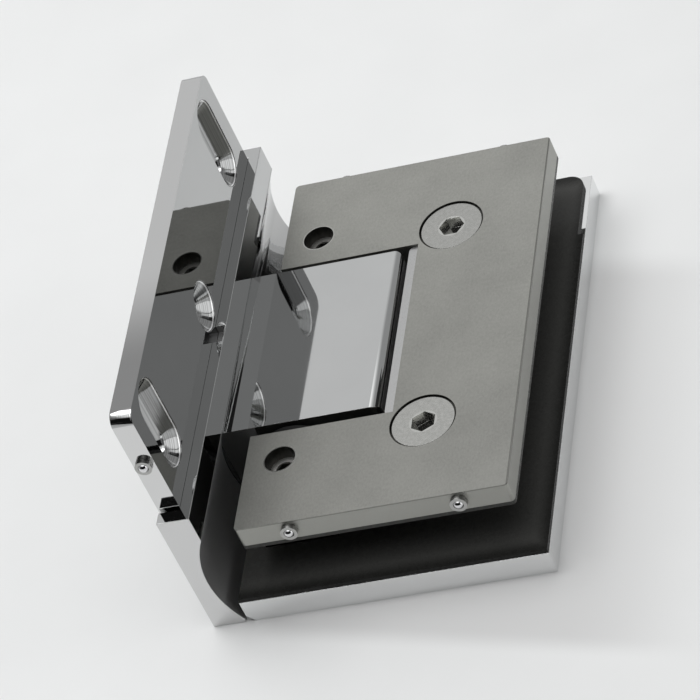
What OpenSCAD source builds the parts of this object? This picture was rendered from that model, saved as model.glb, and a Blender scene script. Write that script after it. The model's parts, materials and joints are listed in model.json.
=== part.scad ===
// Wall-to-glass shower door hinge with a one-sided wall plate, front covers off.
// X runs from the wall towards the glass edge, Y along the pivot, Z from the back to the front.
// The origin is the centre of the wall plate's back face.

/* [Overall] */
// Height of the hinge over its covers, along the pivot
hinge_h = 90; // [90:1:110]
// Thickness of the glass that the leaf clamps
glass_t = 8; // [6:0.5:12]
// Distance from the wall plate's face to the pivot axis
pivot_reach = 12.5; // [12:0.1:16]
// Distance from the pivot axis to the free edge of the leaf cover
leaf_reach = 44.3; // [42:0.1:60]

/* [Wall plate] */
// Depth of the plate, from its front edge to its back edge
plate_d = 45; // [42:0.5:60]
// Thickness of the plate
plate_t = 3.8; // [3.6:0.1:6]
// Radius of the plate's corners
plate_corner_r = 2.2; // [0.5:0.1:4]
// Distance between the two wall slots
slot_pitch = 67.6; // [60:0.2:67.6]
// Distance from the plate's front edge to the middle of the slots
slot_inset = 9.95; // [9.9:0.05:12]
// Width of a wall slot
slot_w = 4.3; // [4:0.1:4.6]
// Length of a wall slot from end to end
slot_len = 13.9; // [10:0.1:14]
// Depth of the slots' countersink
slot_sink = 2.1; // [1.5:0.05:2.2]
// Diameter of the middle wall hole
mid_hole_d = 4.3; // [4:0.1:4.6]
// Depth of the middle hole's countersink
mid_sink = 2.35; // [1.5:0.05:2.4]
// Distance from the plate's front edge to the middle wall hole
mid_hole_inset = 16.65; // [15:0.05:16.7]

/* [Pivot block] */
// Height of the block along the pivot
block_h = 37.5; // [34:0.5:44]
// Distance from the pivot axis to the end of the block
block_reach = 16.7; // [15:0.05:17.2]
// Rounding of the block's end edges, front and back
block_edge_r = 1.6; // [0.5:0.1:2]
// Rounding of the block's end corners, seen from the front
block_corner_r = 1.2; // [0.5:0.1:2]
// Half width of the spring pocket along the pivot
pocket_half = 8; // [7:0.5:9]
// Wall left between the spring pocket and the block's faces
pocket_wall = 3.15; // [2.5:0.05:3.2]
// Distance from the block's upper or lower end to the screw near it
block_screw_inset = 5.35; // [5.2:0.05:6]
// Length of a block screw under the plate's face
block_screw_bite = 6.2; // [5:0.1:6.4]

/* [Pivot] */
// Diameter of the pivot pin
pin_d = 8; // [7:0.1:8.4]
// Length of the pin
pin_len = 66; // [62:0.5:66]
// Distance between two opposite flats of the pin's square middle
cam_af = 6.6; // [5.8:0.1:6.8]
// Wall of the bushes
bush_wall = 1.27; // [1:0.01:1.6]
// Diameter of the bushes' flanges
bush_flange_d = 15; // [12:0.5:17]
// Thickness of the bushes' flanges
bush_flange_t = 0.85; // [0.5:0.05:0.85]
// Length of a bush inside the block
bush_len = 9.5; // [7:0.1:10]
// Thickness of a detent spring
detent_t = 1; // [0.6:0.1:1.2]

/* [Leaf] */
// Thickness of the clamp plates
clamp_t = 4; // [3.6:0.1:6]
// Thickness of the gaskets
gasket_t = 0.75; // [0.5:0.05:1.5]
// Distance from the pivot axis to the clamp plates' edge on the wall side
clamp_tail = 6.2; // [5.6:0.1:7]
// Radius of the clamp plates' corners
clamp_corner_r = 0.7; // [0.5:0.1:3]
// Gap between the block and the clamp plates, above and below it
fork_gap_y = 1.4; // [1.2:0.05:3]
// Gap between the block's end and the clamp plates
fork_gap_x = 2.6; // [2.5:0.05:5]
// Distance from the fork's end wall to the clamp screws
clamp_screw_x = 5.65; // [5.6:0.05:8]
// Distance from the fork's side walls to the clamp screws
clamp_screw_y = 3.3; // [3:0.1:6]
// Distance from the middle to each pin set screw
set_screw_y = 26.65; // [25.5:0.05:27.5]
// Height of each pin boss along the pivot
boss_h = 13.4; // [12:0.1:14]
// Thickness of the rib that closes the gap for the glass at the fork's end
rib_t = 2; // [1.5:0.1:3]
// Width of the strip that covers part of the gap at the block's end
strip_w = 1.7; // [1:0.05:1.7]
// Depth of the strip below the clamp plate's face
strip_depth = 0.5; // [0.3:0.05:0.5]
// Thickness of the strip
strip_t = 0.7; // [0.5:0.05:0.7]

/* [Screws] */
// Thread diameter of the clamp screws and block screws
screw_d = 6; // [5:0.1:6]
// Head diameter of the clamp screws and block screws
head_d = 11; // [10:0.1:11.2]
// Width across the flats of the sockets of those screws
socket_af = 4; // [3:0.1:4.2]
// Diameter of the recesses for those heads
sink_d = 11.6; // [11.4:0.1:12]
// Diameter of the pin set screws
set_d = 5.4; // [4:0.1:6]
// Depth of the set screws below the clamp plate's face
set_depth = 2.5; // [1:0.1:2.6]
// Width across the flats of the set screws' sockets
set_af = 2.5; // [2:0.1:2.7]

/* [Covers] */
// Thickness of the leaf cover's face
cover_face_t = 0.6; // [0.5:0.05:1.2]
// Thickness of the leaf cover's rim
cover_rim_t = 2; // [1.2:0.1:2.5]
// Thickness of the wall cover's lip over the wall plate
lip_t = 2; // [1.6:0.1:3]
// Distance that the wall cover's lip reaches past the middle of the plate
lip_over = 0.8; // [0:0.1:2]
// Thickness of the wall cover's end walls
end_wall_t = 2.5; // [2:0.1:2.8]
// Thickness of the wall cover's back wall
back_wall_t = 1.2; // [0.8:0.1:2]
// Distance that the wall cover reaches past the wall plate at the back
back_skirt = 2.5; // [2.2:0.1:4]
// Thickness of the wall cover behind its hollow
hollow_wall = 0.8; // [0.6:0.1:1]
// Distance from the pivot axis to the leaf cover's rounded edge
swing_r = 12.75; // [12.7:0.05:13]
// Distance from the pivot axis to the leaf cover's end on the wall side
leaf_tail = 10; // [9:0.05:10.6]
// Shift of the hollow's centre from the pivot axis, away from the wall
hollow_shift_x = 5.55; // [5:0.05:6]
// Shift of the hollow's centre from the pivot axis, towards the front
hollow_shift_z = 1.15; // [0.5:0.05:2]
// Length of the notch in the lip's inner edge, along the pivot
notch_len = 3.8; // [2:0.1:5]
// Depth of the notch
notch_depth = 1.5; // [0.5:0.1:1.8]
// Wall of the lip left outside the notch
notch_wall = 0.3; // [0.3:0.05:1]
// Place of the notch along the pivot
notch_y = -1.9; // [-4:0.1:4]

/* [Ball plungers] */
// Diameter of a plunger's sleeve
sleeve_d = 2.9; // [2.6:0.1:3]
// Length of a plunger's sleeve
sleeve_len = 4.3; // [4:0.1:4.4]
// Distance that a sleeve stands out of its plate
sleeve_proud = 0.9; // [0.5:0.1:1]
// Diameter of a plunger's ball
ball_d = 1.9; // [1.6:0.1:2]
// Distance that a ball stands out of its sleeve
ball_proud = 0.5; // [0.4:0.05:0.6]
// Distance from the wall plate's front edge to its open plungers
wall_plunger_inset = 10.9; // [9:0.1:12]
// Distance from the wall plate's front edge to its covered plungers
covered_plunger_inset = 28; // [25:0.5:29]
// Distance from the pivot axis to the plungers near it
near_plunger_x = 3; // [1:0.1:5]
// Distance from the pivot axis to the plungers further out
far_plunger_x = 32.5; // [28:0.1:36]

/* [Gasket relief] */
// Width of the strip of rim that the back gasket leaves bare at the upper corner
relief_w = 1; // [0.5:0.1:1.5]
// Length of that strip
relief_len = 15.5; // [8:0.5:20]
// Radius of the back gasket's upper corner
relief_r = 3; // [1:0.5:4]

/* [Hidden] */
$fn = 48;

// Clearances
seat_gap = 0.02;        // round a pressed or threaded piece
run_gap = 0.03;         // between the pin and the bushes, on the radius
body_gap = 0.3;         // between the block or pin and what turns round it
cover_gap = 0.1;        // between a cover and the plate that it sits on
edge_gap = 0.3;         // between a gasket's cut-outs and what passes through
swing_gap = 0.35;       // between the leaf cover's rounded edge and the wall cover's hollow
plunger_room = 1.5;     // between a clamp plate's edge and its cover's wall, over and under it
end_gap = 0.5;          // between the wall plate's ends and its cover's end walls
pocket_gap = 0.15;      // round the covered wall plungers in their pockets
cut = 1;                // how far a cutter runs past the face that it cuts

// Wall side
plate_h = hinge_h - 2 * (end_wall_t + end_gap);
lip_x = plate_t + seat_gap + lip_t;
back_z = -plate_d / 2 - back_skirt;
front_edge_z = plate_d / 2;
slot_z = front_edge_z - slot_inset;
mid_hole_z = front_edge_z - mid_hole_inset;
wall_plunger_z = front_edge_z - wall_plunger_inset;
covered_plunger_z = front_edge_z - covered_plunger_inset;

// Leaf, from its back face to its front
leaf_d = 2 * (cover_face_t + clamp_t + gasket_t) + glass_t;
pivot_x = plate_t + pivot_reach;
pivot_z = back_z + leaf_d / 2;
back_clamp_z = back_z + cover_face_t;
rim_z = back_clamp_z + clamp_t;
glass_back_z = rim_z + gasket_t;
glass_front_z = glass_back_z + glass_t;
front_clamp_z = glass_front_z + gasket_t;
front_face_z = front_clamp_z + clamp_t;
block_top_z = back_z + leaf_d;

// Block and fork
block_end_x = pivot_x + block_reach;
block_screw_y = block_h / 2 - block_screw_inset;
fork_x = block_end_x + fork_gap_x;
fork_half = block_h / 2 + fork_gap_y;
clamp_x0 = pivot_x - clamp_tail;
cover_x1 = pivot_x + leaf_reach;
rib_half = fork_half - edge_gap;
strip_leg_t = 0.6;      // thickness of the strip's leg
strip_corner_r = 1;     // radius of the strip's corners on the block's side
side_room = 0.9;        // between the clamp plates' free edge and the cover's rim
clamp_x1 = cover_x1 - cover_rim_t - side_room;
clamp_h = hinge_h - 2 * (cover_rim_t + plunger_room);
clamp_screw_px = fork_x + clamp_screw_x;
clamp_screw_py = fork_half + clamp_screw_y;

// Hollow in the wall cover that lets the leaf swing
hollow_x = pivot_x + hollow_shift_x;
hollow_z = pivot_z + hollow_shift_z;
hollow_r = swing_r + swing_gap + norm([hollow_shift_x, hollow_shift_z]);

// Pivot
pin_r = pin_d / 2;
bush_r = pin_r + run_gap + bush_wall;
boss_w = 2 * clamp_tail;
boss_end = fork_half + boss_h;
set_flat = 0.6;         // how deep the flats for the set screws cut into the pin
set_flat_len = 8;       // length of those flats
pin_chamfer = 0.5;      // at the pin's two ends
pocket_play = 0.5;      // from each end of the spring pocket to the springs and to the pin's round
cam_half = pocket_half + pocket_play;   // half length of the pin's square middle
cam_play = 0.05;        // between the pin's flats and the springs at rest

// Detent springs and their saddles
pocket_depth = leaf_d / 2 - pocket_wall;
pocket_reach = 10.7;    // from the pivot axis to the pocket's far wall
detent_half_x = 9.8;    // half length of a spring, across the pivot
detent_half_y = pocket_half - pocket_play;
saddle_span = 7;        // half the free span of a spring between its saddle's feet
saddle_relief = 1;      // how far a spring can bend into its saddle
detent_z = cam_af / 2 + cam_play;
saddle_z = detent_z + detent_t + seat_gap;

// Countersunk screws
head_rim = 0.3;         // height of the upright rim of a head
head_t = (head_d - screw_d) / 2 + head_rim;
head_recess = 0.25;     // from a plate's face to the top of a head
lower_turn = 30;        // turn of the lower clamp screw against the upper one
socket_t = 2.2;         // depth of the sockets of the countersunk screws
clamp_tip_room = 0.5;   // from the tips of the clamp screws to the back clamp plate's back
set_socket_t = 1.8;     // depth of the set screws' sockets

// Ball plungers
ball_r = ball_d / 2;
ball_play = 0.05;       // between a ball and its sleeve
sleeve_floor = 0.5;     // thickness of a sleeve's closed end
mouth_t = 0.3;          // length of the narrowed mouth that holds the ball in
ball_z = sleeve_proud + ball_proud - ball_r;
wire_d = 0.25;          // of the plungers' springs
coil_turns = 3;
coil_share = 0.7;       // of a coil's radius to its ball's
ring_steps = 10;        // steps in a turn
wire_sides = 6;
plunger_xs = [pivot_x + near_plunger_x, pivot_x + far_plunger_x];

// Lays a flat outline in the plane of the wall plate and gives it a thickness along X
module slab_x(x0, t) {
    translate([x0, 0, 0]) rotate([90, 0, 90]) linear_extrude(t) children();
}

// Lays an outline in the XZ plane and gives it a length along the pivot, about the middle
module bar_y(len) {
    rotate([90, 0, 0]) linear_extrude(len, center = true) children();
}

// Lays an outline in the XY plane and gives it a thickness from z0 upwards
module slab_z(z0, t) {
    translate([0, 0, z0]) linear_extrude(t) children();
}

// Rectangle from its low corner to its high corner, with round corners
module round_rect(lo, hi, r) {
    translate([lo[0] + r, lo[1]]) square([hi[0] - lo[0] - 2 * r, hi[1] - lo[1]]);
    translate([lo[0], lo[1] + r]) square([hi[0] - lo[0], hi[1] - lo[1] - 2 * r]);
    for (x = [lo[0] + r, hi[0] - r], y = [lo[1] + r, hi[1] - r]) translate([x, y]) circle(r);
}

// Countersunk screw along -Z with the top of its head at z = 0
module flat_head_screw(len) {
    difference() {
        union() {
            translate([0, 0, -head_rim]) cylinder(head_rim, d = head_d);
            translate([0, 0, -head_t]) cylinder(head_t - head_rim, screw_d / 2, head_d / 2);
            translate([0, 0, -len]) cylinder(len - head_t, d = screw_d);
        }
        translate([0, 0, -socket_t]) cylinder(socket_t + cut, d = socket_af / cos(30), $fn = 6);
    }
}

// Cutter for a countersunk screw along -Z through a plate whose face is at z = 0
module screw_cut(depth) {
    step_t = head_recess + head_rim;
    sink_t = head_recess + head_t;
    translate([0, 0, -step_t]) cylinder(step_t + cut, d = sink_d);
    translate([0, 0, -sink_t])
        cylinder(sink_t - step_t, screw_d / 2 + seat_gap, head_d / 2 + seat_gap);
    translate([0, 0, -depth]) cylinder(depth, r = screw_d / 2 + seat_gap);
}

// Cutter for a round hole through the wall plate, countersunk in its face
module sunk_hole(d, sink) {
    rotate([0, 90, 0]) {
        translate([0, 0, -cut]) cylinder(plate_t + 2 * cut, d = d);
        translate([0, 0, plate_t - sink]) cylinder(sink, d / 2, d / 2 + sink);
        translate([0, 0, plate_t]) cylinder(cut, d = d + 2 * sink);
    }
}

// Cutter for a slot along Z through the wall plate, countersunk in its face
module slot_cut() {
    run = slot_len - slot_w;
    half = slot_w / 2;
    wide = half + slot_sink;
    for (side = [-1, 1]) translate([0, 0, side * run / 2]) sunk_hole(slot_w, slot_sink);
    linear_extrude(run, center = true) {
        translate([-cut, -half]) square([plate_t + 2 * cut, slot_w]);
        polygon([[plate_t - slot_sink, -half], [plate_t, -wide], [plate_t + cut, -wide],
            [plate_t + cut, wide], [plate_t, wide], [plate_t - slot_sink, half]]);
    }
}

// Places a plunger or its hole on the edge at height y of a plate, facing out of the plate
module on_edge(x, y, z) {
    translate([x, y, z]) rotate([y > 0 ? -90 : 90, 0, 0]) children();
}

// Hole for a plunger, from the plate's edge at z = 0 inwards
module plunger_hole() {
    depth = sleeve_len - sleeve_proud + cover_gap;
    translate([0, 0, -depth]) cylinder(depth + cut, r = sleeve_d / 2 + seat_gap);
}

// Sleeve of a ball plunger, standing out of the plate's edge at z = 0
module plunger_sleeve() {
    floor_z = sleeve_proud - sleeve_len + sleeve_floor;
    bore_r = ball_r + ball_play;
    mouth_r = sqrt(pow(ball_r, 2) - pow(sleeve_proud - ball_z, 2)) + ball_play;
    difference() {
        translate([0, 0, sleeve_proud - sleeve_len]) cylinder(sleeve_len, d = sleeve_d);
        translate([0, 0, floor_z]) cylinder(sleeve_proud - mouth_t - floor_z, r = bore_r);
        translate([0, 0, sleeve_proud - mouth_t]) cylinder(mouth_t, bore_r, mouth_r);
        translate([0, 0, sleeve_proud]) cylinder(cut, r = mouth_r);
    }
}

module plunger_ball() {
    translate([0, 0, ball_z]) sphere(ball_r);
}

// One ring of points round the wire of a coil spring, at a share of its turns
function wire_ring(share, r, z0, z1) =
    let (a = 360 * coil_turns * share, z = z0 + (z1 - z0) * share)
    [for (k = [0 : wire_sides - 1])
        let (b = 360 * k / wire_sides, q = r + wire_d / 2 * cos(b))
        [q * cos(a), q * sin(a), z + wire_d / 2 * sin(b)]];

// Coil spring of round wire between a sleeve's floor and its ball
module plunger_spring() {
    steps = coil_turns * ring_steps;
    coil_r = ball_r * coil_share;
    z0 = sleeve_proud - sleeve_len + sleeve_floor + wire_d / 2 + seat_gap;
    reach = ball_r + wire_d / 2 + seat_gap;
    z1 = ball_z - sqrt(pow(reach, 2) - pow(coil_r, 2));
    rings = [for (i = [0 : steps]) wire_ring(i / steps, coil_r, z0, z1)];
    sides = [for (i = [0 : steps - 1], k = [0 : wire_sides - 1])
        let (a = i * wire_sides, b = a + wire_sides, n = (k + 1) % wire_sides)
        [a + k, a + n, b + n, b + k]];
    caps = [[for (k = [wire_sides - 1 : -1 : 0]) k],
        [for (k = [0 : wire_sides - 1]) steps * wire_sides + k]];
    polyhedron([for (ring = rings) each ring], concat(sides, caps), convexity = 4);
}

// Outline of the hollow for the swinging leaf, grown by a distance
module hollow_disc(grow) {
    translate([hollow_x, hollow_z]) circle(hollow_r + grow, $fn = 96);
}

module wall_plate() {
    land = block_h / 2 + cover_gap;
    color("silver") difference() {
        slab_x(0, plate_t) round_rect([-plate_h / 2, -plate_d / 2], [plate_h / 2, plate_d / 2],
            plate_corner_r);
        for (side = [-1, 1]) {
            translate([0, side * slot_pitch / 2, slot_z]) slot_cut();
            translate([0, side * (land + plate_h / 2), 0])
                bar_y(plate_h) hollow_disc(hollow_wall + cover_gap);
            translate([0, side * block_screw_y, pivot_z]) rotate([0, -90, 0]) screw_cut(plate_t + cut);
            for (z = [wall_plunger_z, covered_plunger_z])
                on_edge(plate_t / 2, side * plate_h / 2, z) plunger_hole();
        }
        translate([0, 0, mid_hole_z]) sunk_hole(mid_hole_d, mid_sink);
    }
}

// Section of the wall cover across the pivot
module wall_cover_section() {
    difference() {
        translate([0, back_z]) square([lip_x, lip_over - back_z]);
        hollow_disc(0);
    }
}

// Section of the room inside the wall cover
module wall_cover_room() {
    difference() {
        translate([-cut, back_z + back_wall_t])
            square([plate_t + seat_gap + cut, lip_over - back_z - back_wall_t + cut]);
        hollow_disc(hollow_wall);
    }
}

// Pocket in an end wall for the covered plunger, open towards the wall
module end_pocket() {
    half = sleeve_d / 2 + pocket_gap;
    depth = sleeve_proud + ball_proud + pocket_gap - end_gap;
    translate([-cut, hinge_h / 2 - end_wall_t - cut, covered_plunger_z - half])
        cube([plate_t / 2 + half + cut, depth + cut, 2 * half]);
}

module back_wall_cover() {
    window = block_h / 2 + 2 * cover_gap;
    window_x = hollow_x - hollow_r - hollow_wall - cover_gap;
    color("silver") difference() {
        bar_y(hinge_h) wall_cover_section();
        bar_y(hinge_h - 2 * end_wall_t) wall_cover_room();
        for (side = [0, 1]) mirror([0, side, 0]) end_pocket();
        translate([window_x, -window, back_z - cut])
            cube([lip_x - window_x + cut, 2 * window, block_top_z + seat_gap - back_z + cut]);
        translate([plate_t - cut, notch_y - notch_len / 2, lip_over - notch_depth])
            cube([lip_x - notch_wall - plate_t + cut, notch_len, notch_depth + cut]);
    }
}

// Section of the block across the pivot, with its two end edges round
module block_section() {
    r = block_edge_r;
    translate([plate_t, back_z]) square([block_end_x - r - plate_t, leaf_d]);
    translate([plate_t, back_z + r]) square([block_end_x - plate_t, leaf_d - 2 * r]);
    for (z = [back_z + r, block_top_z - r]) translate([block_end_x - r, z]) circle(r);
}

// Plan of the block, with its two end corners round
module block_plan() {
    r = block_corner_r;
    translate([plate_t, -block_h / 2]) square([block_end_x - r - plate_t, block_h]);
    translate([plate_t, r - block_h / 2]) square([block_end_x - plate_t, block_h - 2 * r]);
    for (side = [-1, 1]) translate([block_end_x - r, side * (block_h / 2 - r)]) circle(r);
}

module pivot_block() {
    color("gainsboro") difference() {
        intersection() {
            bar_y(block_h) block_section();
            slab_z(back_z, leaf_d) block_plan();
        }
        translate([pivot_x, 0, pivot_z]) rotate([90, 0, 0]) {
            cylinder(block_h + 2 * cut, r = pin_r + body_gap, center = true);
            for (side = [-1, 1]) translate([0, 0, side * (block_h / 2 - bush_len / 2 + cut / 2)])
                cylinder(bush_len + cut + seat_gap, r = bush_r + seat_gap, center = true);
        }
        translate([plate_t - cut, -pocket_half, pivot_z - pocket_depth])
            cube([pivot_x - plate_t + pocket_reach + cut, 2 * pocket_half, 2 * pocket_depth]);
        for (side = [-1, 1]) translate([plate_t - cut, side * block_screw_y, pivot_z])
            rotate([0, 90, 0]) cylinder(block_screw_bite + cut + cover_gap, r = screw_d / 2 + seat_gap);
    }
}

module block_screws() {
    color("dimgray") for (side = [-1, 1])
        translate([head_recess, side * block_screw_y, pivot_z]) rotate([0, -90, 0])
            flat_head_screw(plate_t + block_screw_bite - head_recess);
}

// Flanged bush at the upper end of the block; the lower one is its mirror image
module bush() {
    color("black") translate([pivot_x, block_h / 2, pivot_z]) rotate([-90, 0, 0]) difference() {
        union() {
            translate([0, 0, -bush_len]) cylinder(bush_len, r = bush_r);
            cylinder(bush_flange_t, d = bush_flange_d);
        }
        translate([0, 0, -bush_len - cut])
            cylinder(bush_len + bush_flange_t + 2 * cut, r = pin_r + run_gap);
    }
}

module upper_bush() { bush(); }
module lower_bush() { mirror([0, 1, 0]) bush(); }

// Flat spring that bears on the pin's square middle, on its front side
module detent_spring() {
    color("slategray") translate([pivot_x - detent_half_x, -detent_half_y, pivot_z + detent_z])
        cube([2 * detent_half_x, 2 * detent_half_y, detent_t]);
}

// Carries a detent spring by its two ends and leaves it room to bend
module spring_saddle() {
    height = pocket_depth - saddle_z - seat_gap;
    color("ivory") translate([pivot_x, 0, pivot_z + saddle_z]) difference() {
        translate([-detent_half_x, -detent_half_y, 0])
            cube([2 * detent_half_x, 2 * detent_half_y, height]);
        translate([-saddle_span, -detent_half_y - cut, -cut])
            cube([2 * saddle_span, 2 * (detent_half_y + cut), saddle_relief + cut]);
    }
}

// Turns a piece on the front side of the pivot to its back side
module to_back() {
    translate([0, 0, 2 * pivot_z]) mirror([0, 0, 1]) children();
}

module front_detent_spring() { detent_spring(); }
module back_detent_spring() { to_back() detent_spring(); }
module front_spring_saddle() { spring_saddle(); }
module back_spring_saddle() { to_back() spring_saddle(); }

// Puts a plunger's piece at each place of the wall plate that the call names
module on_wall_plate(sides, heights) {
    for (side = sides, z = heights) on_edge(plate_t / 2, side * plate_h / 2, z) children();
}

module wall_plate_plungers() {
    color("gray") on_wall_plate([-1, 1], [wall_plunger_z, covered_plunger_z]) plunger_sleeve();
}

module wall_covered_balls() {
    color("white") on_wall_plate([-1, 1], [covered_plunger_z]) plunger_ball();
}

module wall_covered_springs() {
    color("dimgray") on_wall_plate([-1, 1], [covered_plunger_z]) plunger_spring();
}

module upper_wall_ball() { color("white") on_wall_plate([1], [wall_plunger_z]) plunger_ball(); }
module lower_wall_ball() { color("white") on_wall_plate([-1], [wall_plunger_z]) plunger_ball(); }

module upper_wall_ball_spring() {
    color("dimgray") on_wall_plate([1], [wall_plunger_z]) plunger_spring();
}

module lower_wall_ball_spring() {
    color("dimgray") on_wall_plate([-1], [wall_plunger_z]) plunger_spring();
}

module pivot_pin() {
    color("lightgray") translate([pivot_x, 0, pivot_z]) difference() {
        rotate([90, 0, 0]) union() {
            cylinder(pin_len - 2 * pin_chamfer, r = pin_r, center = true);
            for (side = [0, 1]) mirror([0, 0, side]) translate([0, 0, pin_len / 2 - pin_chamfer])
                cylinder(pin_chamfer, pin_r, pin_r - pin_chamfer);
        }
        for (turn = [0 : 90 : 270]) rotate([0, turn, 0])
            translate([-pin_r - cut, -cam_half, cam_af / 2]) cube([2 * (pin_r + cut), 2 * cam_half, pin_r]);
        for (side = [-1, 1])
            translate([-pin_r, side * set_screw_y - set_flat_len / 2, pin_r - set_flat])
                cube([pin_d, set_flat_len, pin_r]);
    }
}

// Outline of a clamp plate, with the fork that straddles the block
module clamp_outline() {
    difference() {
        round_rect([clamp_x0, -clamp_h / 2], [clamp_x1, clamp_h / 2], clamp_corner_r);
        translate([clamp_x0 - cut, -fork_half]) square([fork_x - clamp_x0 + cut, 2 * fork_half]);
    }
}

// Holes for the plungers in both edges of a clamp plate whose middle is at height z
module clamp_plunger_holes(z) {
    for (side = [-1, 1], x = plunger_xs) on_edge(x, side * clamp_h / 2, z) plunger_hole();
}

module front_clamp_plate() {
    color("darkgray") difference() {
        slab_z(front_clamp_z, clamp_t) clamp_outline();
        for (side = [-1, 1]) {
            translate([clamp_screw_px, side * clamp_screw_py, front_face_z]) screw_cut(clamp_t + cut);
            translate([pivot_x, side * set_screw_y, front_clamp_z - cut])
                cylinder(clamp_t + 2 * cut, r = set_d / 2 + seat_gap);
        }
        clamp_plunger_holes(front_clamp_z + clamp_t / 2);
    }
}

module back_clamp_plate() {
    color("darkgray") difference() {
        union() {
            slab_z(back_clamp_z, clamp_t) clamp_outline();
            for (side = [0, 1]) mirror([0, side, 0])
                translate([clamp_x0, fork_half, rim_z])
                    cube([boss_w, boss_h, front_clamp_z - rim_z]);
            translate([fork_x, -rib_half, rim_z - cut])
                cube([rib_t, 2 * rib_half, front_clamp_z - seat_gap - rim_z + cut]);
        }
        translate([pivot_x, 0, pivot_z]) rotate([90, 0, 0])
            cylinder(2 * boss_end + 2 * cut, r = pin_r + seat_gap, center = true);
        for (side = [-1, 1]) {
            translate([clamp_screw_px, side * clamp_screw_py, back_clamp_z - cut])
                cylinder(clamp_t + 2 * cut, r = screw_d / 2 + seat_gap);
            translate([pivot_x, side * set_screw_y, pivot_z])
                cylinder(leaf_d, r = set_d / 2 + seat_gap);
        }
        clamp_plunger_holes(back_clamp_z + clamp_t / 2);
    }
}

// What passes through a gasket: the fork, its rib, the pin bosses and the clamp screws
module gasket_cuts(x0) {
    translate([x0 - cut, -fork_half])
        square([fork_x + rib_t + edge_gap - x0 + cut, 2 * fork_half]);
    for (side = [0, 1]) mirror([0, side, 0]) {
        translate([clamp_x0 - edge_gap, fork_half - cut])
            square([boss_w + 2 * edge_gap, boss_h + edge_gap + cut]);
        translate([clamp_screw_px, clamp_screw_py]) circle(screw_d / 2 + edge_gap);
    }
}

module front_gasket() {
    color("black") slab_z(glass_front_z, gasket_t) difference() {
        clamp_outline();
        gasket_cuts(clamp_x0);
    }
}

// The back gasket lies over the clamp plate and the cover's rim
module back_gasket() {
    x0 = pivot_x - leaf_tail + cover_gap;
    x1 = cover_x1 - cover_gap;
    top = hinge_h / 2 - cover_gap;
    color("black") slab_z(rim_z, gasket_t) difference() {
        union() {
            translate([x0, -top]) square([x1 - relief_w - x0, 2 * top - relief_r]);
            translate([x0, -top]) square([x1 - relief_w - relief_r - x0, 2 * top]);
            translate([x0, -top]) square([x1 - x0, 2 * top - relief_len]);
            translate([x1 - relief_w - relief_r, top - relief_r]) circle(relief_r);
        }
        gasket_cuts(x0);
    }
}

// Section of the leaf cover, or of the room in it, rounded about the pivot on the wall side
module leaf_section(x0, x1, z0, z1, r) {
    intersection() {
        translate([x0, z0]) square([x1 - x0, z1 - z0]);
        union() {
            translate([pivot_x, pivot_z]) circle(r, $fn = 96);
            translate([pivot_x, z0]) square([x1 - pivot_x, z1 - z0]);
        }
    }
}

module back_leaf_cover() {
    x0 = pivot_x - leaf_tail;
    fork = fork_half - edge_gap;
    color("silver") difference() {
        bar_y(hinge_h) leaf_section(x0, cover_x1, back_z, rim_z, swing_r);
        bar_y(hinge_h - 2 * cover_rim_t)
            leaf_section(x0 + cover_rim_t, cover_x1 - cover_rim_t, back_clamp_z, rim_z + cut,
                swing_r - cover_rim_t / 2);
        translate([x0 - cut, -fork, back_z - cut]) cube([fork_x - edge_gap - x0 + cut, 2 * fork, leaf_d]);
    }
}

// Bent strip along the fork's end: its leg lies on the clamp plate, its face reaches to the block
module fork_strip() {
    x0 = fork_x - seat_gap - strip_w;
    top = front_face_z - strip_depth;
    half = fork_half - seat_gap;
    color("lightgray") {
        slab_z(top - strip_t, strip_t) intersection() {
            round_rect([x0, -half], [fork_x + strip_w, half], strip_corner_r);
            translate([x0, -half]) square([strip_w, 2 * half]);
        }
        translate([fork_x - seat_gap - strip_leg_t, -half, front_clamp_z])
            cube([strip_leg_t, 2 * half, top - strip_t - front_clamp_z + seat_gap]);
    }
}

// Clamp screw on the upper or lower side, turned about its axis
module clamp_screw(side, turn) {
    color("gainsboro") translate([clamp_screw_px, side * clamp_screw_py, front_face_z - head_recess])
        rotate([0, 0, turn]) flat_head_screw(front_face_z - head_recess - back_clamp_z - clamp_tip_room);
}

// Set screw of the upper side; the lower one is its mirror image
module set_screw() {
    top = front_face_z - set_depth;
    tip = pivot_z + pin_r - set_flat + seat_gap;
    color("dimgray") translate([pivot_x, set_screw_y, 0]) difference() {
        translate([0, 0, tip]) cylinder(top - tip, d = set_d);
        translate([0, 0, top - set_socket_t]) cylinder(set_socket_t + cut, d = set_af / cos(30), $fn = 6);
    }
}

module upper_clamp_screw() { clamp_screw(1, 0); }
module lower_clamp_screw() { clamp_screw(-1, lower_turn); }
module upper_set_screw() { set_screw(); }
module lower_set_screw() { mirror([0, 1, 0]) set_screw(); }

// Puts a plunger's piece on the edges of a clamp plate whose lower face is at z0
module on_clamp_plate(z0, sides, xs) {
    for (side = sides, x = xs) on_edge(x, side * clamp_h / 2, z0 + clamp_t / 2) children();
}

module front_plate_plungers() {
    color("gray") on_clamp_plate(front_clamp_z, [-1, 1], plunger_xs) plunger_sleeve();
}

module back_plate_plungers() {
    color("gray") on_clamp_plate(back_clamp_z, [-1, 1], plunger_xs) plunger_sleeve();
}

module leaf_covered_balls() {
    color("white") on_clamp_plate(back_clamp_z, [-1, 1], plunger_xs) plunger_ball();
}

module leaf_covered_springs() {
    color("dimgray") on_clamp_plate(back_clamp_z, [-1, 1], plunger_xs) plunger_spring();
}

// Ball and spring of one open plunger of the front clamp plate
module front_ball(side, x) { color("white") on_clamp_plate(front_clamp_z, [side], [x]) plunger_ball(); }
module front_spring(side, x) {
    color("dimgray") on_clamp_plate(front_clamp_z, [side], [x]) plunger_spring();
}

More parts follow.
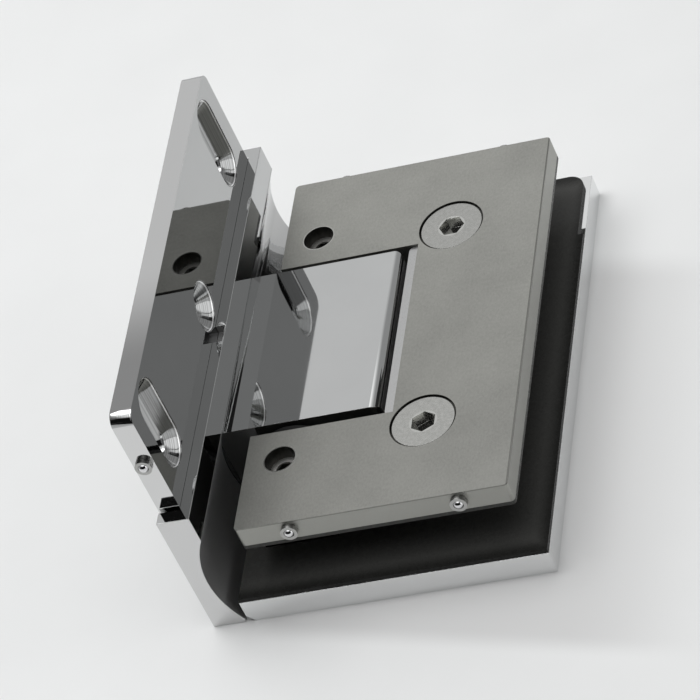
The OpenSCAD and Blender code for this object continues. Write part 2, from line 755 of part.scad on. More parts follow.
wall_plate();
back_wall_cover();
pivot_block();
block_screws();
upper_bush();
lower_bush();
front_detent_spring();
back_detent_spring();
front_spring_saddle();
back_spring_saddle();
wall_plate_plungers();
wall_covered_balls();
wall_covered_springs();
upper_wall_ball();
lower_wall_ball();
upper_wall_ball_spring();
lower_wall_ball_spring();
pivot_pin();
front_clamp_plate();
back_clamp_plate();
front_gasket();
back_gasket();
fork_strip();
back_leaf_cover();
upper_clamp_screw();
lower_clamp_screw();
upper_set_screw();
lower_set_screw();
front_plate_plungers();
back_plate_plungers();
leaf_covered_balls();
leaf_covered_springs();
front_ball(1, plunger_xs[0]);  // upper_near_ball
front_ball(1, plunger_xs[1]);  // upper_far_ball
front_ball(-1, plunger_xs[0]);  // lower_near_ball
front_ball(-1, plunger_xs[1]);  // lower_far_ball
front_spring(1, plunger_xs[0]);  // upper_near_ball_spring
front_spring(1, plunger_xs[1]);  // upper_far_ball_spring
front_spring(-1, plunger_xs[0]);  // lower_near_ball_spring
front_spring(-1, plunger_xs[1]);  // lower_far_ball_spring
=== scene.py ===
"""Looks for a wall-to-glass shower door hinge that lies on its back covers, front covers off."""

import json
import math

import bpy
from mathutils import Matrix, Vector

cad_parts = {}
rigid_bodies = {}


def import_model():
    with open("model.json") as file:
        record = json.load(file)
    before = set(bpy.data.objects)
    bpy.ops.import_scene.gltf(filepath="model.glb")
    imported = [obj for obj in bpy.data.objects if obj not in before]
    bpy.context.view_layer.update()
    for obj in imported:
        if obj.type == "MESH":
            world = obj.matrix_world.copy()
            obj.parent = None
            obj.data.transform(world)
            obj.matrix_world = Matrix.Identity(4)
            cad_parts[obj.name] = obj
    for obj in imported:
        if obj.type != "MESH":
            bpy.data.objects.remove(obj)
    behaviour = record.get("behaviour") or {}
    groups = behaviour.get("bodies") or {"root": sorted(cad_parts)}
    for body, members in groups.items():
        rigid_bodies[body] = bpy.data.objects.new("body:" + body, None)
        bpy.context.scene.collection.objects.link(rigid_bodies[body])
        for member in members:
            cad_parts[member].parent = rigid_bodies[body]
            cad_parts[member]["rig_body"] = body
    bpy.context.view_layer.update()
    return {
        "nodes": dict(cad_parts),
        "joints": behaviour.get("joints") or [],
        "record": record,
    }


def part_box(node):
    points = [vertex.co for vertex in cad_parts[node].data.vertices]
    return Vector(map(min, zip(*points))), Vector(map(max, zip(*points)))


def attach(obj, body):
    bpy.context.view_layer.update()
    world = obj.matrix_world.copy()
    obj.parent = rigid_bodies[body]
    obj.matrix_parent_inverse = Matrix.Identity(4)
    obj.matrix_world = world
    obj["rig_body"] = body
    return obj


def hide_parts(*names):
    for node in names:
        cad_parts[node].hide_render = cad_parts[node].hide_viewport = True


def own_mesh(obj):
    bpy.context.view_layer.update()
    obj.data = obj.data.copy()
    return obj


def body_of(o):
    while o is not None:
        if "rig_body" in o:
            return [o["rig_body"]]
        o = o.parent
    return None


MM = 0.001

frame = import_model()
nodes = frame["nodes"]


def middle(name):
    """Middle of a node's box."""
    low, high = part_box(name)
    return (low + high) / 2


def half_width(name):
    """Half of a node's box along X."""
    low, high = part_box(name)
    return (high.x - low.x) / 2


# Places that several pieces share, from the frame
WALL_LO, WALL_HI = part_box("wall_plate")
FRONT_LO, FRONT_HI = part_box("front_clamp_plate")
COVER_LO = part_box("back_wall_cover")[0]
BLOCK_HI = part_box("pivot_block")[1]
FLOOR_Z = min(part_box("back_leaf_cover")[0].z, COVER_LO.z)
PIVOT = middle("pivot_pin")
CLAMP_SCREW = middle("upper_clamp_screw")
HEAD_R = half_width("upper_clamp_screw")
HEAD_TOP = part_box("upper_clamp_screw")[1].z
SET_SCREW = middle("upper_set_screw")
SET_R = half_width("upper_set_screw")

# How deep the painted light on an end face reaches, and the tone of a front edge
FACE_SKIN = 0.03 * MM
EDGE_SKIN = 0.05 * MM

# Holes through the wall plate: what stays clear of its faces, and the painted highlight and
# painted shade line at their mouths
HOLE_BACK = 0.05 * MM
HOLE_FRONT = 0.03 * MM
HOLE_MARGIN = 0.3 * MM
MOUTH_DEEP = 0.3 * MM
MOUTH_HIGH = 0.14 * MM

# Where the painted shade on the wall plate's front edge starts, and where it is full, along Y
EDGE_SHADE_START = -6 * MM
EDGE_SHADE_END = -30 * MM

# Notch in the wall cover's lip, and the face of the lip
LIP_X = 5.82 * MM
LIP_WALL = 0.2 * MM
NOTCH_Y = (-3.85 * MM, 0.05 * MM)
NOTCH_Z = (-0.75 * MM, 0.7 * MM)

# The wall cover's hollow: its axis, its radius and, along Y, where its painted shade starts and
# where its rough lower part with painted light ends
HOLLOW = Vector((21.85, 0, -14.5)) * MM
HOLLOW_R = 18.77 * MM
HOLLOW_SKIN = 0.15 * MM
DIM_FROM = 19 * MM
RAW_UP_TO = -18 * MM
SWING_REACH = 2 * MM

# Front clamp plate: broken edge, skins of its side faces, the painted shade line along its right
# edge and the span of its painted shade along Y
CLAMP_BEVEL = 0.25 * MM
SIDE_TOP = 0.26 * MM
SIDE_SKIN = 0.3 * MM
EDGE_SHADE_LINE = (0.28 * MM, 0.03 * MM)
SHADE_FROM, SHADE_TO = 40 * MM, -40 * MM
HOLE_PLAY = 0.06 * MM
MOUTH_RING = 0.22 * MM
SINK_RING = 0.35 * MM

# Sockets of the screws, and the depths of the painted highlight round a clamp screw's socket
CLAMP_SOCKET_R = 2.45 * MM
SET_SOCKET_R = 1.6 * MM
SOCKET_RIM_HIGHLIGHT = (0.01 * MM, 0.4 * MM)

# How far painted light lifts the clamp plate's shadow on the gasket
SHADOW_LIFT_REACH = 3 * MM

# Range of a noise value that the eye can tell apart
NOISE_LOW, NOISE_HIGH = 0.3, 0.7

# Places of the colour inputs and of the colour output on a mix node
MIX_COLOURS = (6, 7)
MIX_COLOUR_OUT = 2


def grey(tone):
    """A neutral colour."""
    return (tone, tone, tone)


def new_material(name):
    """An empty node material with its shader and output joined."""
    made = bpy.data.materials.new(name)
    made.use_nodes = True
    tree = made.node_tree
    tree.nodes.clear()
    shader = tree.nodes.new("ShaderNodeBsdfPrincipled")
    out = tree.nodes.new("ShaderNodeOutputMaterial")
    tree.links.new(shader.outputs["BSDF"], out.inputs["Surface"])
    return made, tree, shader


def new_metal(name):
    """An empty node material of bare metal."""
    made, tree, shader = new_material(name)
    shader.inputs["Metallic"].default_value = 1.0
    return made, tree, shader


def feed(tree, target, value):
    """Gives an input a number, a colour or what another socket says."""
    if isinstance(value, bpy.types.NodeSocket):
        tree.links.new(value, target)
    elif isinstance(value, tuple):
        target.default_value = (*value, 1)
    else:
        target.default_value = value


def coordinates(tree, scale=(1, 1, 1)):
    """Object coordinates in metres, times a scale for each axis."""
    place = tree.nodes.new("ShaderNodeTexCoord")
    mapping = tree.nodes.new("ShaderNodeMapping")
    mapping.inputs["Scale"].default_value = scale
    tree.links.new(place.outputs["Object"], mapping.inputs["Vector"])
    return mapping.outputs["Vector"]


def separate(tree, kind="Object"):
    """The three coordinates of a point; those of an object are in metres."""
    place = tree.nodes.new("ShaderNodeTexCoord")
    parts = tree.nodes.new("ShaderNodeSeparateXYZ")
    tree.links.new(place.outputs[kind], parts.inputs["Vector"])
    return parts.outputs["X"], parts.outputs["Y"], parts.outputs["Z"]


def maths(tree, operation, *values):
    """A math node; each value is a socket or a number."""
    made = tree.nodes.new("ShaderNodeMath")
    made.operation = operation
    for index, value in enumerate(values):
        feed(tree, made.inputs[index], value)
    return made.outputs["Value"]


def product(tree, first, *others):
    """Product of values; each is a socket or a number."""
    result = first
    for other in others:
        result = maths(tree, "MULTIPLY", result, other)
    return result


def length(tree, along, across):
    """Length of a line with two parts at right angles."""
    return maths(tree, "SQRT", maths(tree, "ADD", product(tree, along, along),
                                     product(tree, across, across)))


def flag(tree, value, low, high):
    """One between two values, else zero."""
    return product(tree, maths(tree, "GREATER_THAN", value, low),
                   maths(tree, "LESS_THAN", value, high))


def any_flag(tree, value, ranges):
    """One inside either of two ranges, else zero."""
    first, second = ranges
    return maths(tree, "MAXIMUM", flag(tree, value, *first), flag(tree, value, *second))


def radius_about(tree, centre):
    """Distance from an upright axis, or from its mirror image on the lower side."""
    x, y, z = separate(tree)
    along = maths(tree, "SUBTRACT", x, centre.x)
    across = maths(tree, "SUBTRACT", maths(tree, "ABSOLUTE", y), centre.y)
    return length(tree, along, across)


def noise(tree, scale, detail=3.0, stretch=(1, 1, 1), rough=0.55):
    """A noise value from 0 to 1 at a scale for each metre."""
    made = tree.nodes.new("ShaderNodeTexNoise")
    made.inputs["Scale"].default_value = scale
    made.inputs["Detail"].default_value = detail
    made.inputs["Roughness"].default_value = rough
    tree.links.new(coordinates(tree, stretch), made.inputs["Vector"])
    return made.outputs["Fac"]


def line_noise(tree, value, scale, detail=2.0):
    """Noise that varies along one value only."""
    made = tree.nodes.new("ShaderNodeTexNoise")
    made.noise_dimensions = "1D"
    made.inputs["Scale"].default_value = scale
    made.inputs["Detail"].default_value = detail
    tree.links.new(value, made.inputs["W"])
    return made.outputs["Fac"]


def map_range(tree, value, numbers, interpolation):
    """Maps a value from one range to another."""
    made = tree.nodes.new("ShaderNodeMapRange")
    made.interpolation_type = interpolation
    for name, number in zip(("From Min", "From Max", "To Min", "To Max"), numbers):
        made.inputs[name].default_value = number
    tree.links.new(value, made.inputs["Value"])
    return made.outputs["Result"]


def spread(tree, value, low, high):
    """Maps a noise value to a range."""
    return map_range(tree, value, (NOISE_LOW, NOISE_HIGH, low, high), "LINEAR")


def ramp_between(tree, value, start, end, low, high):
    """Maps a value smoothly from one range to another."""
    return map_range(tree, value, (start, end, low, high), "SMOOTHSTEP")


def tint(tree, value, dark, light):
    """Maps a noise value to a colour between two."""
    ramp = tree.nodes.new("ShaderNodeValToRGB")
    stops = ramp.color_ramp.elements
    for stop, position, colour in zip(stops, (NOISE_LOW, NOISE_HIGH), (dark, light)):
        stop.position = position
        stop.color = (*colour, 1)
    tree.links.new(value, ramp.inputs["Fac"])
    return ramp.outputs["Color"]


def bump(tree, shader, height, strength, distance):
    """Raises a surface by a height value, in metres."""
    made = tree.nodes.new("ShaderNodeBump")
    made.inputs["Strength"].default_value = strength
    made.inputs["Distance"].default_value = distance
    tree.links.new(height, made.inputs["Height"])
    tree.links.new(made.outputs["Normal"], shader.inputs["Normal"])


def blend(tree, share, first, second):
    """Mixes two values; each is a socket or a number."""
    made = tree.nodes.new("ShaderNodeMix")
    for name, value in (("Factor", share), ("A", first), ("B", second)):
        feed(tree, made.inputs[name], value)
    return made.outputs["Result"]


def mixed_colour(tree, share, first, second):
    """Mixes two colours; each is a socket or a triple."""
    made = tree.nodes.new("ShaderNodeMix")
    made.data_type = "RGBA"
    feed(tree, made.inputs["Factor"], share)
    for index, value in zip(MIX_COLOURS, (first, second)):
        feed(tree, made.inputs[index], value)
    return made.outputs[MIX_COLOUR_OUT]


def in_slots(tree, x, y, z):
    """The walls of the holes through the wall plate."""
    return product(tree, flag(tree, x, HOLE_BACK, WALL_HI.x - HOLE_FRONT),
                   flag(tree, y, WALL_LO.y + HOLE_MARGIN, WALL_HI.y - HOLE_MARGIN),
                   flag(tree, z, 0, WALL_HI.z - HOLE_MARGIN))


def slot_streaks(tree, x, y, z):
    """Dark tool marks round the holes through the wall plate."""
    marks = ramp_between(tree, line_noise(tree, x, 4000, 3), 0.42, 0.58, 0.0, 0.5)
    return product(tree, in_slots(tree, x, y, z), marks)


def slot_mouth_highlights(tree, x, y, z):
    """Painted highlight on the broken edge at the mouth of each hole through the wall plate."""
    return product(tree, in_slots(tree, x, y, z),
                   flag(tree, x, WALL_HI.x - MOUTH_DEEP, WALL_HI.x - MOUTH_HIGH))


def slot_rim_shade_lines(tree, x, y, z):
    """Painted shade: a dark line round the mouth of each hole through the wall plate."""
    return product(tree, in_slots(tree, x, y, z),
                   maths(tree, "GREATER_THAN", x, WALL_HI.x - MOUTH_HIGH))


def front_edge(tree, x, y, z):
    """The wall plate's front edge; its own tone is painted light, brighter than the rest of the
    plate.
    """
    return maths(tree, "GREATER_THAN", z, WALL_HI.z - EDGE_SKIN)


def front_edge_painted_shade(tree, x, y, z):
    """Lower half of the wall plate's front edge, painted darker as painted shade."""
    low = ramp_between(tree, y, EDGE_SHADE_START, EDGE_SHADE_END, 0.0, 1.0)
    return product(tree, front_edge(tree, x, y, z), low)


def plate_end_painted_light(tree, x, y, z):
    """Lower end face of the wall plate, painted brighter as painted light."""
    return maths(tree, "LESS_THAN", y, WALL_LO.y + FACE_SKIN)


def cover_end_painted_light(tree, x, y, z):
    """Lower end face of the wall cover, painted brighter as painted light."""
    return maths(tree, "LESS_THAN", y, COVER_LO.y + FACE_SKIN)


def block_end_painted_light(tree, x, y, z):
    """End face of the pivot block at the strip in the fork, rougher and painted bright as painted
    light in the gap's shade.
    """
    return maths(tree, "GREATER_THAN", x, BLOCK_HI.x - FACE_SKIN)


def notch(tree, x, y, z):
    """Pocket in the inner edge of the wall cover's lip, given a darker, rougher tone."""
    return product(tree, flag(tree, y, *NOTCH_Y), flag(tree, z, *NOTCH_Z),
                   maths(tree, "LESS_THAN", x, LIP_X - LIP_WALL))


def near_hollow(tree, x, z):
    """The face of the wall cover's hollow, which the leaf swings in."""
    along = maths(tree, "SUBTRACT", x, HOLLOW.x)
    up = maths(tree, "SUBTRACT", z, HOLLOW.z)
    return maths(tree, "LESS_THAN", length(tree, along, up), HOLLOW_R + HOLLOW_SKIN)


def lower_part(tree, y):
    """The rough lower part of the covers, above their end faces."""
    return flag(tree, y, COVER_LO.y + EDGE_SKIN, RAW_UP_TO)


def hollow_painted_shade(tree, x, y, z):
    """The upper part of the hollow, painted darker as painted shade."""
    return product(tree, near_hollow(tree, x, z), maths(tree, "GREATER_THAN", y, DIM_FROM))


def raw_hollow_painted_light(tree, x, y, z):
    """The lower part of the hollow: rough, and painted lighter as painted light in its shade."""
    return product(tree, near_hollow(tree, x, z), lower_part(tree, y))


def raw_swing_side_painted_shade(tree, x, y, z):
    """The lower part of the leaf cover's rounded end in the hollow: rough, and painted dark as
    painted shade.
    """
    return product(tree, maths(tree, "LESS_THAN", x, PIVOT.x + SWING_REACH),
                   lower_part(tree, y))


# Tone and roughness of each area that differs from the rest of its piece; apart from the tool
# marks and the notch, each tone is painted light or painted shade
AREA_LOOKS = {
    slot_streaks: (0.2, 0.1),
    slot_mouth_highlights: (0.95, 0.3),
    slot_rim_shade_lines: (0.08, 0.3),
    front_edge: (0.58, 0.03),
    front_edge_painted_shade: (0.28, 0.08),
    plate_end_painted_light: (0.68, 0.06),
    cover_end_painted_light: (0.63, 0.06),
    block_end_painted_light: (0.95, 0.4),
    notch: (0.4, 0.5),
    hollow_painted_shade: (0.38, 0.05),
    raw_hollow_painted_light: (0.55, 0.5),
    raw_swing_side_painted_shade: (0.1, 0.6),
}


def chrome_material(name="polished_chrome", shade=1.0, areas=()):
    """Polished chrome with a trace of haze, its tone scaled by shade as painted light; each area
    has its own tone and roughness.
    """
    made, tree, shader = new_metal(name)
    x, y, z = separate(tree)
    haze = noise(tree, 60, 4)
    colour = tint(tree, haze, (0.505 * shade, 0.51 * shade, 0.51 * shade),
                  (0.53 * shade, 0.535 * shade, 0.535 * shade))
    rough = spread(tree, haze, 0.02, 0.045)
    for area in areas:
        share = area(tree, x, y, z)
        tone, area_rough = AREA_LOOKS[area]
        colour = mixed_colour(tree, share, colour, grey(tone))
        rough = blend(tree, share, rough, area_rough)
    lines = product(tree, line_noise(tree, x, 9000, 3), in_slots(tree, x, y, z))
    tree.links.new(colour, shader.inputs["Base Color"])
    tree.links.new(rough, shader.inputs["Roughness"])
    bump(tree, shader, lines, 0.5, 0.01 * MM)
    return made


def side_faces(tree, x, y, z):
    """The right and lower side faces of the front clamp plate, painted lighter as painted light.
    """
    below = maths(tree, "LESS_THAN", z, FRONT_HI.z - SIDE_TOP)
    side = product(tree, below, maths(tree, "GREATER_THAN", x, FRONT_HI.x - SIDE_SKIN))
    front = product(tree, below, maths(tree, "LESS_THAN", y, FRONT_LO.y + SIDE_SKIN))
    return maths(tree, "MAXIMUM", side, front)


def brushed_material():
    """Stainless plate with a fine matte grain; painted shade darkens it along Y, lines its right
    edge and fills its screw holes, and painted light brightens its side faces and a hole's mouth.
    """
    made, tree, shader = new_metal("brushed_stainless")
    x, y, z = separate(tree)
    grain = noise(tree, 2600, 3, (1, 0.6, 1), 0.8)
    mixed = blend(tree, 0.35, grain, noise(tree, 90, 3))
    light = tint(tree, mixed, (0.245, 0.245, 0.229), (0.345, 0.345, 0.323))
    dark = tint(tree, mixed, (0.190, 0.190, 0.178), (0.266, 0.266, 0.249))
    # Painted shade: the plate is painted darker from +Y towards -Y
    shaded = ramp_between(tree, y, SHADE_FROM, SHADE_TO, 0.0, 1.0)
    # Painted shade: a dark line on the broken right edge
    edge_shade_line = product(tree, maths(tree, "GREATER_THAN", z, FRONT_HI.z - CLAMP_BEVEL),
                     flag(tree, x, FRONT_HI.x - EDGE_SHADE_LINE[0], FRONT_HI.x - EDGE_SHADE_LINE[1]))
    reach = radius_about(tree, SET_SCREW)
    # Painted shade in the set screw's hole and round the clamp screw's head
    hole = maths(tree, "LESS_THAN", reach, SET_R + HOLE_PLAY)
    # Painted highlight at the mouth of the set screw's hole, with a smoother finish
    mouth = flag(tree, reach, SET_R + HOLE_PLAY, SET_R + MOUTH_RING)
    sink = maths(tree, "LESS_THAN", radius_about(tree, CLAMP_SCREW), HEAD_R + SINK_RING)
    plate = mixed_colour(tree, shaded, light, dark)
    for share, colour in ((side_faces(tree, x, y, z), (0.36, 0.36, 0.337)),
                          (edge_shade_line, (0.14, 0.14, 0.13)),
                          (maths(tree, "MAXIMUM", hole, sink), (0.05, 0.05, 0.045)),
                          (mouth, (0.45, 0.45, 0.43))):
        plate = mixed_colour(tree, share, plate, colour)
    tree.links.new(plate, shader.inputs["Base Color"])
    rough = blend(tree, mouth, spread(tree, mixed, 0.36, 0.5), 0.15)
    tree.links.new(rough, shader.inputs["Roughness"])
    bump(tree, shader, grain, 0.5, 0.02 * MM)
    return made


def satin_material(name, dark, light, rough):
    """Ground steel with a fine even grain; dark and light are neutral or colours."""
    made, tree, shader = new_metal(name)
    marks = noise(tree, 9000, 2)
    tree.links.new(tint(tree, marks, dark, light), shader.inputs["Base Color"])
    tree.links.new(spread(tree, marks, rough * 0.9, rough * 1.1), shader.inputs["Roughness"])
    bump(tree, shader, marks, 0.1, 0.005 * MM)
    return made


def screw_material():
    """Turned steel head with a faint mottle, a smoother socket painted lighter as painted light,
    and a painted highlight round the socket's rim.
    """
    made, tree, shader = new_metal("screw_steel")
    reach = radius_about(tree, CLAMP_SCREW)
    mottle = noise(tree, 1400, 4, rough=0.7)
    socket = maths(tree, "LESS_THAN", reach, CLAMP_SOCKET_R)
    depth = maths(tree, "SUBTRACT", HEAD_TOP, separate(tree)[2])
    socket_rim_highlight = product(tree, socket, flag(tree, depth, *SOCKET_RIM_HIGHLIGHT))
    head = tint(tree, mottle, (0.36, 0.36, 0.345), (0.43, 0.43, 0.415))
    head = mixed_colour(tree, socket, head, (0.55, 0.55, 0.53))
    head = mixed_colour(tree, socket_rim_highlight, head, (0.95, 0.95, 0.93))
    tree.links.new(head, shader.inputs["Base Color"])
    rough = blend(tree, socket, spread(tree, mottle, 0.24, 0.3), 0.14)
    tree.links.new(rough, shader.inputs["Roughness"])
    bump(tree, shader, line_noise(tree, reach, 5000), 0.05, 0.003 * MM)
    return made


def set_screw_material():
    """Set screw painted bright as painted light, with its socket painted dark as painted shade."""
    made, tree, shader = new_metal("set_screw_steel")
    marks = noise(tree, 9000, 2)
    ring = tint(tree, marks, (0.86, 0.85, 0.82), (0.95, 0.94, 0.91))
    socket = maths(tree, "LESS_THAN", radius_about(tree, SET_SCREW), SET_SOCKET_R)
    tree.links.new(mixed_colour(tree, socket, ring, (0.12, 0.12, 0.11)),
                   shader.inputs["Base Color"])
    tree.links.new(spread(tree, marks, 0.30, 0.36), shader.inputs["Roughness"])
    return made


def gasket_material():
    """Smooth black sheet with a soft shine, painted paler round the clamp plate as painted light
    against its shadow.
    """
    made, tree, shader = new_material("black_gasket")
    x, y, z = separate(tree)
    skin = noise(tree, 700, 3)
    off_side = maths(tree, "SUBTRACT", x, FRONT_HI.x)
    off_end = maths(tree, "SUBTRACT", maths(tree, "ABSOLUTE", y), FRONT_HI.y)
    shadow_lift = ramp_between(tree, maths(tree, "MAXIMUM", off_side, off_end), SHADOW_LIFT_REACH, 0.0, 0.0, 1.0)
    far_tone = tint(tree, skin, (0.016, 0.016, 0.015), (0.019, 0.019, 0.018))
    tree.links.new(mixed_colour(tree, shadow_lift, far_tone, (0.06, 0.06, 0.057)),
                   shader.inputs["Base Color"])
    tree.links.new(spread(tree, skin, 0.25, 0.3), shader.inputs["Roughness"])
    shader.inputs["Specular IOR Level"].default_value = 0.1
    return made


def plastic_material(name, dark, light, rough):
    """Moulded plastic with a faint flow pattern."""
    made, tree, shader = new_material(name)
    flow = noise(tree, 500, 3)
    tree.links.new(tint(tree, flow, dark, light), shader.inputs["Base Color"])
    tree.links.new(spread(tree, flow, rough * 0.9, rough * 1.15), shader.inputs["Roughness"])
    bump(tree, shader, flow, 0.2, 0.02 * MM)
    return made


MATERIALS = {
    "chrome_plating": chrome_material(),
    "brushed_stainless": brushed_material(),
    "black_gasket": gasket_material(),
    "screw_steel": screw_material(),
    "bush_plastic": plastic_material("bush_plastic", grey(0.02), grey(0.03), 0.5),
    "saddle_plastic": plastic_material("saddle_plastic", (0.62, 0.60, 0.52),
                                       (0.7, 0.68, 0.6), 0.45),
    "set_screw_steel": set_screw_material(),
    "satin_plating": satin_material("satin_plating", grey(0.33), grey(0.36), 0.3),
    "sleeve_steel": satin_material("sleeve_steel", (0.38, 0.38, 0.37), (0.44, 0.44, 0.43), 0.25),
    "ball_steel": satin_material("ball_steel", (0.70, 0.70, 0.71), (0.74, 0.74, 0.75), 0.05),
    "spring_steel": satin_material("spring_steel", (0.27, 0.28, 0.30), (0.31, 0.32, 0.34), 0.3),
}

# Pieces whose look differs from the others of their material; the chrome factors paint the wall
# plate darker and the pivot block and leaf cover brighter, as painted shade and painted light
OWN_MATERIALS = {
    "wall_plate": chrome_material("wall_plate_chrome", 0.86,
                                  (slot_streaks, slot_mouth_highlights, slot_rim_shade_lines, front_edge,
                                   front_edge_painted_shade, plate_end_painted_light)),
    "pivot_block": chrome_material("block_chrome", 1.08, (block_end_painted_light,)),
    "fork_strip": satin_material("strip_plating", grey(0.42), grey(0.46), 0.3),
    "back_wall_cover": chrome_material("wall_cover_chrome", 1.0,
                                       (hollow_painted_shade, raw_hollow_painted_light, notch, cover_end_painted_light)),
    "back_leaf_cover": chrome_material("leaf_cover_chrome", 1.55, (raw_swing_side_painted_shade,)),
}

# How far the sharp edges of each piece are broken
EDGE_WIDTHS = {
    "front_clamp_plate": CLAMP_BEVEL,
    "back_clamp_plate": CLAMP_BEVEL,
    "wall_plate": 0.2 * MM,
    "back_leaf_cover": 0.2 * MM,
    "back_wall_cover": 0.1 * MM,
    "pivot_block": 0.2 * MM,
    "upper_clamp_screw": 0.15 * MM,
    "lower_clamp_screw": 0.15 * MM,
    "upper_set_screw": 0.35 * MM,
    "lower_set_screw": 0.35 * MM,
}
EDGE_SEGMENTS = 3
EDGE_ANGLE = math.radians(35)
WELD_DISTANCE = 0.001 * MM


def dress_nodes():
    """Gives each carried-over node its own material or that of its slot."""
    for part in frame["record"]["subparts"]:
        piece = nodes[part["node"]]
        piece.data.materials.clear()
        made = OWN_MATERIALS.get(part["node"], MATERIALS[part["material_slot"]])
        piece.data.materials.append(made)


def round_edges(name, width):
    """Breaks the sharp edges of a carried-over node with a modifier."""
    piece = nodes[name]
    weld = piece.modifiers.new("join", "WELD")
    weld.merge_threshold = WELD_DISTANCE
    made = piece.modifiers.new("edges", "BEVEL")
    made.width = width
    made.segments = EDGE_SEGMENTS
    made.limit_method = "ANGLE"
    made.angle_limit = EDGE_ANGLE
    made.harden_normals = True


def yielding_spring(name):
    """A copy of a ball's spring on the same body, with a mesh of its own; the original spring is
    hidden.
    """
    spring = nodes[name].copy()
    spring.data = nodes[name].data.copy()
    spring.name = name.replace("_spring", "_coil")
    bpy.context.scene.collection.objects.link(spring)
    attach(spring, body_of(nodes[name])[0])
    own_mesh(spring)
    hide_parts(name)


def yielding_springs():
    """A copy of its spring for each ball that can be pressed in."""
    for joint in frame["joints"]:
        if joint["name"].endswith("_ball_press"):
            yielding_spring(joint["name"].replace("_press", "_spring"))


# The painted shadow on the floor: its borders along y plus a part of x, and along x
SHADE_LEAN = 0.25
SHADE_TOP = (46 * MM, 38 * MM)
SHADE_LOW = (-48 * MM, -43 * MM)
SHADE_SIDE = (92 * MM, 62 * MM)
SHADE_START = (4 * MM, 12 * MM)
SHADE_TONE = 0.65
FLOOR_HALF = 4.0


def floor_shade(tree):
    """Share of the painted shadow beside the hinge."""
    x, y, z = separate(tree)
    slope = maths(tree, "ADD", y, product(tree, x, SHADE_LEAN))
    return product(tree, ramp_between(tree, slope, *SHADE_TOP, 0.0, 1.0),
                   ramp_between(tree, slope, *SHADE_LOW, 0.0, 1.0),
                   ramp_between(tree, x, *SHADE_SIDE, 0.0, 1.0),
                   ramp_between(tree, x, *SHADE_START, 0.0, 1.0))


def floor_material():
    """Pale matt floor with a soft painted shadow beside the hinge."""
    made, tree, shader = new_material("pale_floor")
    pale = tint(tree, noise(tree, 40, 2), (0.795, 0.80, 0.80), (0.815, 0.82, 0.82))
    tree.links.new(mixed_colour(tree, floor_shade(tree), pale, grey(SHADE_TONE)),
                   shader.inputs["Base Color"])
    shader.inputs["Roughness"].default_value = 0.9
    return made


def make_floor():
    """Floor that the hinge lies on."""
    corners = [(-FLOOR_HALF, -FLOOR_HALF, FLOOR_Z), (FLOOR_HALF, -FLOOR_HALF, FLOOR_Z),
               (FLOOR_HALF, FLOOR_HALF, FLOOR_Z), (-FLOOR_HALF, FLOOR_HALF, FLOOR_Z)]
    mesh = bpy.data.meshes.new("floor")
    mesh.from_pydata(corners, [], [(0, 1, 2, 3)])
    mesh.materials.append(floor_material())
    floor = bpy.data.objects.new("floor", mesh)
    bpy.context.scene.collection.objects.link(floor)


# Key light: place, what it faces, its side and its power in watts
KEY_PLACE = (-0.13, 0.06, 0.42)
KEY_TARGET = (0.03, 0, 0)
KEY_SIZE = 0.24
KEY_POWER = 0.66


def make_key_light():
    """A square studio light that faces the hinge."""
    data = bpy.data.lights.new("key", "AREA")
    data.shape = "RECTANGLE"
    data.size = data.size_y = KEY_SIZE
    data.energy = KEY_POWER
    lamp = bpy.data.objects.new("key", data)
    lamp.location = KEY_PLACE
    lamp.rotation_mode = "QUATERNION"
    aim = Vector(KEY_TARGET) - Vector(KEY_PLACE)
    lamp.rotation_quaternion = aim.to_track_quat("-Z", "Y")
    bpy.context.scene.collection.objects.link(lamp)


# Bright card and dark gaps beside the hinge: azimuths in radians, and the height they fade at
CARD = ((-0.6, 0.14), (0.19, 0.40))
CARD_STRENGTH = 1.35
GAPS = ((0.14, 0.19), (0.43, 0.70))
GAP_STRENGTH = 0.03
CARD_FADE = (0.44, 0.54)
CEILING_STRENGTH = 1.68


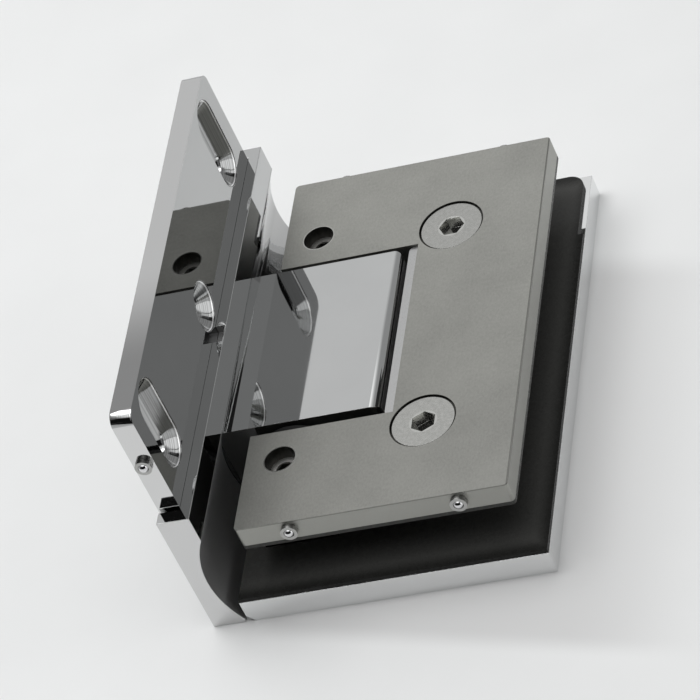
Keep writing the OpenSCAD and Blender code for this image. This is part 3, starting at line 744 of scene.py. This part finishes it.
def studio_light(tree, x, y, z):
    """Strength of the ceiling and walls, with a dim corner and a dark front."""
    far_half = ramp_between(tree, y, 0.10, 0.40, 0.35, 0.80)
    overhead = ramp_between(tree, z, 0.70, 0.95, 0.0, 1.0)
    ceiling = blend(tree, overhead, far_half, CEILING_STRENGTH)
    far_side = ramp_between(tree, y, 0.0, 0.45, 0.0, 1.0)
    corner = blend(tree, far_side, 1.0, ramp_between(tree, x, -0.22, 0.30, 1.0, 0.50))
    front_side = ramp_between(tree, y, -0.25, -0.55, 0.0, 1.0)
    front = blend(tree, front_side, 1.0, ramp_between(tree, z, 0.68, 0.88, 0.03, 1.0))
    return product(tree, ceiling, corner, front)


def make_world():
    """White studio with a dim corner, a dark front, and a bright card with dark gaps beside it."""
    world = bpy.data.worlds.new("studio")
    world.use_nodes = True
    tree = world.node_tree
    x, y, z = separate(tree, "Generated")
    light = studio_light(tree, x, y, z)
    turn = maths(tree, "ARCTAN2", y, x)
    near_floor = ramp_between(tree, z, *CARD_FADE, 1.0, 0.0)
    for ranges, strength in ((CARD, CARD_STRENGTH), (GAPS, GAP_STRENGTH)):
        share = product(tree, any_flag(tree, turn, ranges), near_floor)
        light = blend(tree, share, light, strength)
    back = tree.nodes["Background"]
    back.inputs["Color"].default_value = (0.995, 1.0, 1.0, 1)
    tree.links.new(light, back.inputs["Strength"])
    bpy.context.scene.world = world


# The photograph's camera: focal length and picture width in pixels, then place and axes
FOCAL_PIXELS = 4318.83
PICTURE_PIXELS = 700
SENSOR_WIDTH = 36
CAMERA_PLACE = (0.26299, -0.51317, 0.45688)
CAMERA_RIGHT = (0.9303, 0.1159, -0.3481)
CAMERA_UP = (0.1697, 0.7052, 0.6884)
CAMERA_BACK = (0.3253, -0.6995, 0.6364)


def make_camera():
    """Camera at the photograph's place, with its axes in the hinge's frame."""
    data = bpy.data.cameras.new("camera")
    data.sensor_width = SENSOR_WIDTH
    data.lens = FOCAL_PIXELS * SENSOR_WIDTH / PICTURE_PIXELS
    data.clip_start, data.clip_end = 0.01, 20
    camera = bpy.data.objects.new("camera", data)
    turn = Matrix((CAMERA_RIGHT, CAMERA_UP, CAMERA_BACK)).transposed().to_4x4()
    camera.matrix_world = Matrix.Translation(CAMERA_PLACE) @ turn
    bpy.context.scene.collection.objects.link(camera)
    bpy.context.scene.camera = camera


dress_nodes()
for name, width in EDGE_WIDTHS.items():
    round_edges(name, width)
yielding_springs()
make_floor()
make_world()
make_key_light()
make_camera()
bpy.context.scene.view_settings.view_transform = "Standard"
